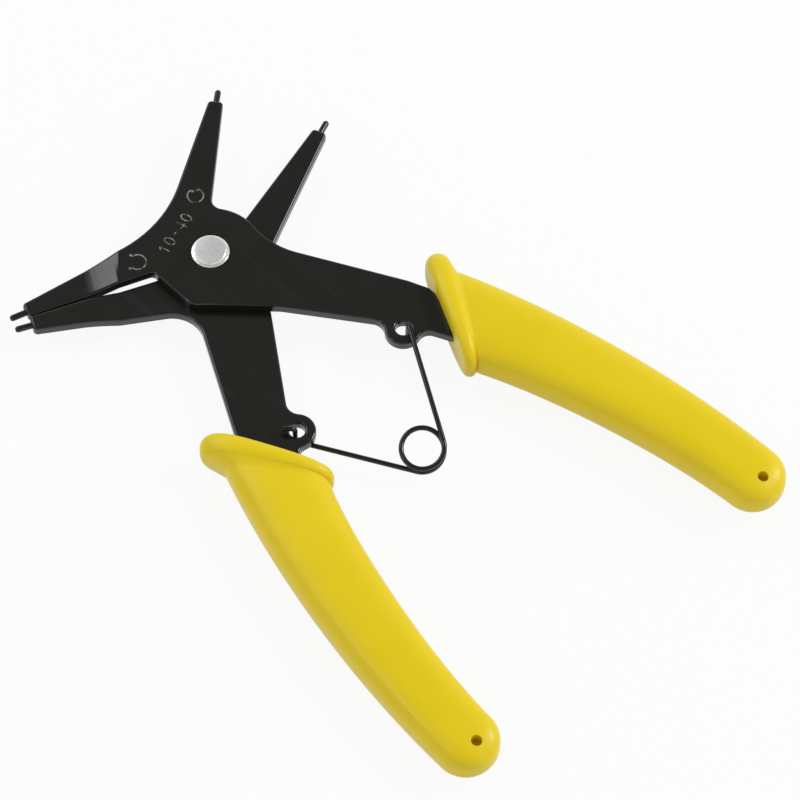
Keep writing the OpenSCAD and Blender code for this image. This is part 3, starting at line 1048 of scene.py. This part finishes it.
# Moulding hole, from the middle of the rounded end
HOLE_OFFSET = Vector((2.6, -0.2)) * MM


class GripShape:
    """The grip's rule: rings from the lip to the end, each between two points of the sides."""

    def __init__(self, sizes, reach):
        self.sizes = sizes
        self.inner = Vector((reach, LIP_INNER_Y))
        self.outer = Vector((reach - LIP_SLANT, LIP_OUTER_Y))
        self.across = (self.outer - self.inner).normalized()
        self.forward = Vector((-self.across[1], self.across[0]))
        self.inner += (self.forward - self.across) * (LIP_INNER_FULL - LIP_INNER_R)
        half_w = sizes.end_width / 2
        self.end = Vector((sizes.reach - half_w, END_Y))
        end = self.end
        # Each side is a cubic curve from the lip to the rounded end
        self.outer_side = [
            Vector(((reach - FRONT_LIP_REACH) / 3 + 40.4 * MM, 33.9 * MM)),
            Vector((61.5, 42.1)) * MM,
            Vector((end[0] - 28 * MM, end[1] + half_w - 0.65 * MM)),
            end + Vector((0, half_w))]
        self.inner_side = [
            Vector((reach + 2.3 * MM, 21.05 * MM)),
            Vector((reach + 13 * MM, 26.3 * MM)),
            Vector((end[0] - 20.5 * MM, end[1] - half_w - 1.3 * MM)),
            end - Vector((0, half_w))]
        self.neck_h = sizes.thickness / 2 - NECK_DROP
        self.end_h = sizes.thickness / 2 - END_DROP

    def lip_ring(self, phi):
        s = math.sin(math.radians(phi))
        c = math.cos(math.radians(phi))
        outer = self.outer + (self.forward * c + self.across * s) * LIP_OUTER_R
        inner = self.inner + (self.forward * c - self.across * s) * LIP_INNER_R
        rise = self.sizes.lip_thickness / 2 - LIP_FRONT_H
        return outer, inner, LIP_FRONT_H + rise * max(s, 0.0) ** 0.7

    def body_height(self, t):
        """Half the thickness at t, which swells behind the neck and thins towards the end."""
        full = self.sizes.thickness / 2
        if t < NECK_SHARE:
            return self.neck_h + (full - self.neck_h) * math.sin(math.pi / 2 * t / NECK_SHARE)
        return full - (full - self.end_h) * ((t - NECK_SHARE) / (1 - NECK_SHARE)) ** 2

    def body_ring(self, t):
        return cubic(self.outer_side, t), cubic(self.inner_side, t), self.body_height(t)

    def end_ring(self, psi):
        half_w = self.sizes.end_width / 2
        w = math.cos(math.radians(psi)) * half_w
        here = self.end + Vector((math.sin(math.radians(psi)) * half_w, 0))
        return here + Vector((0, w)), here - Vector((0, w)), self.end_h * math.cos(math.radians(psi)) ** 0.6

    def rings(self):
        """Each ring as its outer point, its inner point and half its thickness."""
        rings = [self.lip_ring(phi) for phi in range(0, 151, 6)]
        rings += [self.body_ring(k / BODY_RINGS) for k in range(BODY_RINGS + 1)]
        rings += [self.end_ring(psi) for psi in END_ANGLES]
        return rings

    def middle(self, t):
        return (cubic(self.outer_side, t) + cubic(self.inner_side, t)) / 2

    def lip_angle(self):
        return heading(self.outer - self.inner + self.forward * (LIP_OUTER_R - LIP_INNER_R))

    def pocket(self, grow):
        """Outline of the tang, grown, from the lip's face inwards."""
        steps = 8
        left = []
        right = []
        for k in range(steps + 1):
            t = k / steps * TANG_SHARE
            ahead = heading(self.middle(t + 0.02) - self.middle(t - 0.02))
            half_w = (TANG_ROOT_W + (TANG_END_W - TANG_ROOT_W) * k / steps) / 2 + grow
            left.append(self.middle(t) + left_of(ahead) * half_w)
            right.append(self.middle(t) - left_of(ahead) * half_w)
        end = self.middle(TANG_SHARE)
        turn = heading(right[-1] - end)
        end_r = TANG_END_W / 2 + grow
        round_end = [end + direction(turn + 180 * k / 12) * end_r for k in range(1, 12)]
        face = self.inner + self.forward * LIP_INNER_R
        root = crossing(self.middle(0), TANG_HEADING, face, self.lip_angle())
        root -= direction(TANG_HEADING) * 2 * MM
        half_root = left_of(TANG_HEADING) * (TANG_ROOT_W / 2 + grow)
        return [root - half_root] + right + round_end + left[::-1] + [root + half_root]


def grip_mesh(name, shape, sides):
    """Skin over the rings, closed by a flat face at the lip and a small one at the end."""
    rings = shape.rings()
    power = 2 / shape.sizes.fullness
    points = []
    for outer, inner, half_height in rings:
        middle = (outer + inner) / 2
        half = (outer - inner) / 2
        for k in range(sides):
            a = 2 * math.pi * k / sides
            across = math.copysign(abs(math.cos(a)) ** power, math.cos(a))
            rise = math.copysign(abs(math.sin(a)) ** power, math.sin(a))
            p = middle + half * across
            points.append((p[0], p[1], half_height * rise))
    last = (len(rings) - 1) * sides
    faces = [list(range(sides))] + band(0, sides, len(rings)) + [list(range(last, last + sides))]
    mesh = mesh_from(name, points, faces)
    outward(mesh)
    return mesh


def place_grip(obj, height, mirrored):
    """Lifts a grip made about the middle of its section, and mirrors the rear one."""
    for vertex in obj.data.vertices:
        vertex.co.z += height
        if mirrored:
            vertex.co.y = -vertex.co.y
    if mirrored:
        obj.data.flip_normals()
    obj.data.update()


class PLIERS_OT_grips(bpy.types.Operator):
    """Makes the two moulded grips, with the pocket for the tang and the moulding hole"""
    bl_idname = "pliers.grips"
    bl_label = "Make Grips"

    def execute(self, context):
        sizes = context.scene.pliers_grip
        pieces = (
            ("front_grip", "front_half", FRONT_LIP_REACH, Z_FRONT, GRIP_SHIFT, False),
            ("rear_grip", "rear_half", REAR_LIP_REACH, Z_REAR, -GRIP_SHIFT, True),
        )
        for node, body, reach, plate_z, tang_z, mirrored in pieces:
            name = "moulded_" + node
            shape = GripShape(sizes, reach)
            grip = new_object(name, grip_mesh(name, shape, sides=96))
            low = tang_z - PLATE_T / 2 - TANG_CLEARANCE
            high = low + PLATE_T + 2 * TANG_CLEARANCE
            pocket = prism("pocket", shape.pocket(TANG_CLEARANCE), low, high)
            hole_ring = arc(shape.end + HOLE_OFFSET, sizes.hole / 2, 0, 360, 48)[:-1]
            hole = prism("hole", hole_ring, shape.end_h - sizes.hole_depth, shape.end_h + 2 * MM)
            cut(grip, pocket)
            cut(grip, hole)
            grip = applied(grip, name)
            discard(pocket, hole)
            place_grip(grip, plate_z + PLATE_T / 2 - tang_z, mirrored)
            smooth(grip.data, sharp_angle=40)
            finish_piece(grip, "yellow_grip")
            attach(grip, body)
            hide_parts(node)
        return {"FINISHED"}


# Spring

# Eyes of the levers, the side that each hook bears on, and the gaps round the wire
EYE_R = 1.7 * MM
FRONT_EYE = direction(20.7) * 45.3 * MM
REAR_EYE = direction(-20.7) * 46.5 * MM
FRONT_HOOK_HEADING = 60
REAR_HOOK_HEADING = -75
FRONT_HOOK_GAP = 0.1 * MM
REAR_HOOK_GAP = 0.35 * MM
LEG_GAP = 0.6 * MM

# Hooks: the bend's radius, how far each end stands out, and the rear one's turned tail
BEND_R = 1.1 * MM
FRONT_END_DROP = 1.4 * MM
REAR_END_RISE = 1.6 * MM
TAIL_R = 1.0 * MM
TAIL_REACH = 2.6 * MM
TAIL_HEADING = 225
COIL_LEAN_HEADING = 135


class SpringShape:
    """Path of the wire: hook, leg, tilted coil, leg, hook."""

    def __init__(self, sizes):
        self.sizes = sizes
        wire_r = sizes.wire / 2
        self.front_hook = FRONT_EYE + direction(FRONT_HOOK_HEADING) * (EYE_R - wire_r - FRONT_HOOK_GAP)
        self.rear_hook = REAR_EYE + direction(REAR_HOOK_HEADING) * (EYE_R - wire_r - REAR_HOOK_GAP)
        span = (self.rear_hook - self.front_hook).length
        along = (sizes.front_leg ** 2 - sizes.rear_leg ** 2 + span * span) / (2 * span)
        out = math.sqrt(sizes.front_leg ** 2 - along * along)
        line = (self.rear_hook - self.front_hook) / span
        self.centre = self.front_hook + line * along + Vector((-line[1], line[0])) * out
        self.coil_r = sizes.coil / 2
        front_turn = math.degrees(math.acos(self.coil_r / sizes.front_leg))
        rear_turn = math.degrees(math.acos(self.coil_r / sizes.rear_leg))
        self.start = heading(self.front_hook - self.centre) - front_turn
        self.stop = heading(self.rear_hook - self.centre) + rear_turn - 360
        self.top = Z_JOINT + sizes.pitch * (self.start - self.stop) / 720
        self.front_leg_z = Z_FRONT + PLATE_T + wire_r + LEG_GAP
        self.rear_leg_z = Z_REAR - wire_r - LEG_GAP

    def coil_point(self, a):
        p = self.centre + direction(a) * self.coil_r
        drop = self.sizes.pitch * (self.start - a) / 360
        lean = self.sizes.tilt * self.coil_r * math.cos(math.radians(a - COIL_LEAN_HEADING))
        return p[0], p[1], self.top - drop + lean

    def bend(self, hook, coil_angle, leg_z, way):
        """Quarter bend from a leg into its hook, which runs up (way 1) or down (way -1)."""
        ahead = (hook - self.centre - direction(coil_angle) * self.coil_r).normalized()
        points = []
        for k in range(11):
            b = math.radians(9 * k)
            q = hook - ahead * BEND_R * (1 - math.sin(b))
            points.append((q[0], q[1], leg_z + way * BEND_R * (1 - math.cos(b))))
        return points

    def tail(self):
        """Turned tail of the rear hook, on the front of its plate."""
        ahead = direction(TAIL_HEADING)
        top = Z_REAR + PLATE_T + REAR_END_RISE
        points = []
        for k in range(9):
            b = math.radians(90 * k / 8)
            q = self.rear_hook + ahead * (1 - math.cos(b)) * TAIL_R
            points.append((q[0], q[1], top - TAIL_R + math.sin(b) * TAIL_R))
        q = self.rear_hook + ahead * TAIL_REACH
        return points + [(q[0], q[1], top)]

    def path(self):
        hook = self.front_hook
        points = [(hook[0], hook[1], Z_FRONT - FRONT_END_DROP)]
        points += self.bend(hook, self.start, self.front_leg_z, -1)[::-1]
        steps = 150
        turn = self.stop - self.start
        points += [self.coil_point(self.start + turn * k / steps) for k in range(steps + 1)]
        points += self.bend(self.rear_hook, self.stop, self.rear_leg_z, 1)
        return points + self.tail()


class PLIERS_OT_spring(bpy.types.Operator):
    """Makes the return spring as one wire from hook to hook"""
    bl_idname = "pliers.spring"
    bl_label = "Make Spring"

    def execute(self, context):
        sizes = context.scene.pliers_spring
        shape = SpringShape(sizes)
        wire = rod("return_spring", [(shape.path(), False)], sizes.wire, sides=24)
        outward(wire.data)
        smooth(wire.data, sharp_angle=40)
        finish_piece(wire, "spring_wire")
        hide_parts("spring_front_arm", "spring_rear_arm")
        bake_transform(wire)
        return {"FINISHED"}


# Stage

# Camera of the photo: its place and its three axes
CAMERA_PLACE = (0.326962, -0.280194, 0.673461)
CAMERA_RIGHT = (0.706811, 0.707309, 0.011515)
CAMERA_UP = (-0.613649, 0.604957, 0.507408)
CAMERA_BACK = (0.351928, -0.365707, 0.861629)

# Each lamp's name, place, target, width, depth and power
LAMPS = (
    ("key", (0.58, 0.93, 0.9), (0.045, 0.0, 0.0), 0.5, 0.5, 10.0),
    ("left_card", (-0.82, -0.1, 0.93), (-0.02, -0.02, 0.0), 0.9, 0.42, 3.2),
    ("low_card", (-0.33, -0.66, 0.98), (0.0, -0.02, 0.0), 0.26, 0.26, 1.2),
)

# The sky as (height from 0 below to 1 overhead, grey)
SKY = ((0.42, 0.9), (0.74, 0.25))

# Share of white in the floor as the eye and reflections see it, and its gap below the object
FLOOR_LIFT = 0.92
FLOOR_GAP = 0.05 * MM


def area_lamp(name, place, target, width, depth, power):
    lamp = bpy.data.lights.new(name, "AREA")
    lamp.shape = "ELLIPSE"
    lamp.size = width
    lamp.size_y = depth
    lamp.energy = power
    obj = bpy.data.objects.new(name, lamp)
    obj.location = place
    obj.rotation_euler = (Vector(target) - Vector(place)).to_track_quat("-Z", "Y").to_euler()
    bpy.context.scene.collection.objects.link(obj)


def sky_colours(tree):
    """Studio tent: grey overhead, white walls round it."""
    place = add_node(tree, "ShaderNodeTexCoord", (-900, 0))
    parts = add_node(tree, "ShaderNodeSeparateXYZ", (-700, 0))
    ramp = add_node(tree, "ShaderNodeValToRGB", (-500, 0))
    for element, (height, grey) in zip(ramp.color_ramp.elements, SKY):
        element.position = height
        element.color = (grey, grey, grey, 1.0)
    tree.links.new(place.outputs["Generated"], parts.inputs["Vector"])
    tree.links.new(parts.outputs["Z"], ramp.inputs["Fac"])
    tree.links.new(ramp.outputs["Color"], tree.nodes["Background"].inputs["Color"])


def floor_material(finish):
    """Pale floor that keeps the shadow; straight to the eye it is lifted to white."""
    material, tree, shader, mottle = grained_material("pale_floor", grain_scale=300.0, mottle_scale=6.0)
    mottled_colour(tree, shader, mottle, shade(finish.floor, 0.99), shade(finish.floor))
    shader.inputs["Roughness"].default_value = 0.9
    shader.inputs["Specular IOR Level"].default_value = 0.1
    lift = add_node(tree, "ShaderNodeEmission", (300, -500))
    lift.inputs["Strength"].default_value = 1.0
    path = add_node(tree, "ShaderNodeLightPath", (-100, 500))
    to_eye = path.outputs["Is Camera Ray"]
    seen = math_node(tree, "MAXIMUM", (100, 500), to_eye, path.outputs["Is Glossy Ray"])
    share = math_node(tree, "MULTIPLY", (300, 400), seen, FLOOR_LIFT)
    mix = add_node(tree, "ShaderNodeMixShader", (500, 200))
    output = next(n for n in tree.nodes if n.type == "OUTPUT_MATERIAL")
    output.location = (800, 0)
    tree.links.new(share, mix.inputs[0])
    tree.links.new(shader.outputs["BSDF"], mix.inputs[1])
    tree.links.new(lift.outputs["Emission"], mix.inputs[2])
    tree.links.new(mix.outputs["Shader"], output.inputs["Surface"])
    return material


class PLIERS_OT_stage(bpy.types.Operator):
    """Makes the pale floor, the soft lamps and the camera"""
    bl_idname = "pliers.stage"
    bl_label = "Make Stage"

    def execute(self, context):
        scene = context.scene
        sizes = scene.pliers_stage
        half = sizes.floor_size / 2
        height = CAD_BOX[0][2] - FLOOR_GAP
        corners = [(half * x, half * y, height) for x, y in ((-1, -1), (1, -1), (1, 1), (-1, 1))]
        floor = new_object("floor", mesh_from("floor", corners, [[0, 1, 2, 3]]))
        floor.data.materials.append(floor_material(scene.pliers_finish))

        world = bpy.data.worlds.new("studio")
        world.use_nodes = True
        sky_colours(world.node_tree)
        world.node_tree.nodes["Background"].inputs["Strength"].default_value = sizes.sky
        scene.world = world
        for lamp in LAMPS:
            area_lamp(*lamp)

        lens = bpy.data.cameras.new("photo_camera")
        lens.sensor_width = 36.0
        lens.lens = sizes.focal
        lens.clip_start = 0.01
        lens.clip_end = 20.0
        camera = bpy.data.objects.new("photo_camera", lens)
        scene.collection.objects.link(camera)
        rows = [[CAMERA_RIGHT[i], CAMERA_UP[i], CAMERA_BACK[i], CAMERA_PLACE[i]] for i in range(3)]
        camera.matrix_world = Matrix(rows + [[0.0, 0.0, 0.0, 1.0]])
        scene.camera = camera
        scene.view_settings.view_transform = "Standard"
        return {"FINISHED"}


class PLIERS_PT_sidebar(bpy.types.Panel):
    """Lists the pieces of the pliers and their sizes"""
    bl_label = "Circlip Pliers"
    bl_idname = "PLIERS_PT_sidebar"
    bl_space_type = "VIEW_3D"
    bl_region_type = "UI"
    bl_category = "Pliers"

    def draw(self, context):
        scene = context.scene
        rows = (
            (scene.pliers_lever, ("pliers.levers", "pliers.rivet")),
            (scene.pliers_grip, ("pliers.grips",)),
            (scene.pliers_spring, ("pliers.spring",)),
            (scene.pliers_finish, ()),
            (scene.pliers_stage, ("pliers.stage",)),
        )
        for group, operators in rows:
            box = self.layout.box()
            for key in group.__annotations__:
                box.prop(group, key)
            for operator in operators:
                box.operator(operator)


GROUPS = {
    "pliers_lever": PliersLeverSizes,
    "pliers_grip": PliersGripSizes,
    "pliers_spring": PliersSpringSizes,
    "pliers_finish": PliersFinish,
    "pliers_stage": PliersStageSizes,
}

CLASSES = (
    *GROUPS.values(),
    PLIERS_OT_levers,
    PLIERS_OT_rivet,
    PLIERS_OT_grips,
    PLIERS_OT_spring,
    PLIERS_OT_stage,
    PLIERS_PT_sidebar,
)


def register():
    for item in CLASSES:
        bpy.utils.register_class(item)
    for key, group in GROUPS.items():
        setattr(bpy.types.Scene, key, bpy.props.PointerProperty(type=group))


def unregister():
    for key in GROUPS:
        delattr(bpy.types.Scene, key)
    for item in reversed(CLASSES):
        bpy.utils.unregister_class(item)


def main():
    register()
    bpy.ops.pliers.stage()
    bpy.ops.pliers.levers()
    bpy.ops.pliers.rivet()
    bpy.ops.pliers.grips()
    bpy.ops.pliers.spring()


if __name__ == "__main__":
    main()
